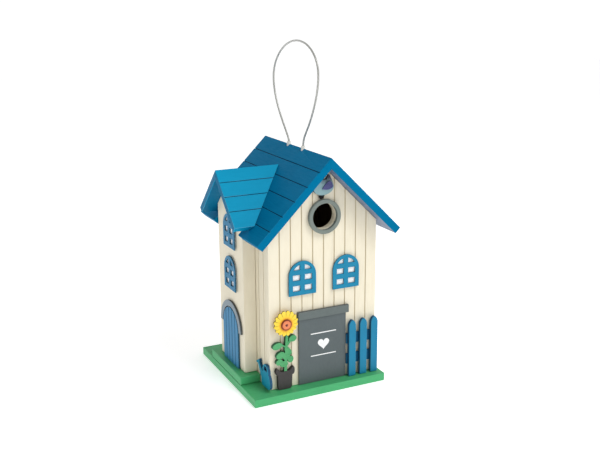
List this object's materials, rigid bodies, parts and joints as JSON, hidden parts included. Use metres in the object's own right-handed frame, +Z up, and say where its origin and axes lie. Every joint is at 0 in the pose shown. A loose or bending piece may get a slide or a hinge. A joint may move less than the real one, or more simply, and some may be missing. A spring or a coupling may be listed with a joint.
{
  "type": "birdhouse",
  "caption": "Painted wooden cottage birdhouse with a round entrance, gabled roof, side bay, garden trim, rear clean-out cover and wire hanging loop.",
  "frame": {"origin": "middle of the base plate's underside, on the surface that the house stands on", "axes": "+Z up, along the wire's loop; -Y out of the front, through the entrance hole; -X out of the bay's face; the roof's ridge runs along Y"},
  "size_m": [0.174, 0.1648, 0.3657],
  "materials": {
    "cream_paint": "satin paint on grooved plywood",
    "roof_paint": "satin blue paint on grooved plywood",
    "bay_roof_paint": "satin light blue paint on grooved plywood",
    "green_paint": "satin paint",
    "stone_grey_paint": "satin paint",
    "sign_grey_paint": "satin paint",
    "window_blue_paint": "satin paint",
    "door_blue_paint": "satin paint",
    "white_paint": "satin paint on thin card-like ply",
    "fence_paint": "satin paint",
    "can_paint": "satin paint",
    "leaf_paint": "satin paint",
    "petal_paint": "satin paint",
    "flower_centre_paint": "satin paint",
    "charcoal_paint": "satin paint",
    "bird_paint": "satin paint",
    "bird_wing_paint": "satin paint",
    "black_paint": "satin paint",
    "coated_wire": "clear plastic coat over stranded wire",
    "sleeve_plastic": "translucent",
    "stop_metal": "pressed",
    "screw_steel": "zinc plated"
  },
  "bodies": {
    "house": {"base_plate": "green_paint", "bay_plinth": "green_paint", "base_screw_1": "screw_steel", "base_screw_2": "screw_steel", "base_screw_3": "screw_steel", "base_screw_4": "screw_steel", "front_wall": "cream_paint", "rear_wall": "cream_paint", "left_wall": "cream_paint", "right_wall": "cream_paint", "bay_block": "cream_paint", "roof_board_left": "roof_paint", "roof_board_right": "roof_paint", "bay_roof_board_front": "bay_roof_paint", "bay_roof_board_rear": "bay_roof_paint", "entrance_ring": "stone_grey_paint", "bird_body": "bird_paint", "bird_wing": "bird_wing_paint", "bird_feet": "black_paint", "front_window_left_frame": "window_blue_paint", "front_window_left_panes": "white_paint", "front_window_right_frame": "window_blue_paint", "front_window_right_panes": "white_paint", "bay_window_lower_frame": "window_blue_paint", "bay_window_lower_panes": "white_paint", "bay_window_upper_frame": "window_blue_paint", "bay_window_upper_panes": "white_paint", "bay_door": "door_blue_paint", "bay_door_arch": "stone_grey_paint", "sign_panel": "sign_grey_paint", "sign_lintel": "sign_grey_paint", "sunflower_stem_leaves": "leaf_paint", "sunflower_petals": "petal_paint", "sunflower_centre": "flower_centre_paint", "flower_pot": "charcoal_paint", "fence_picket_1": "fence_paint", "fence_picket_2": "fence_paint", "fence_picket_3": "fence_paint", "fence_rail_lower": "fence_paint", "fence_rail_upper": "fence_paint", "watering_can": "can_paint", "clean_out_pivot_screw": "screw_steel", "hanging_cable": "coated_wire", "cable_sleeve_front": "sleeve_plastic", "cable_sleeve_rear": "sleeve_plastic", "cable_stop_front": "stop_metal", "cable_stop_rear": "stop_metal"},
    "cover": {"clean_out_cover": "sign_grey_paint"}
  },
  "joints": [
    {"name": "clean_out_swivel", "type": "hinge", "parent": "house", "child": "cover", "pos_m": [0.00935, 0.0673, 0.095], "axis": [0, 1, 0], "continuous": true}
  ]
}
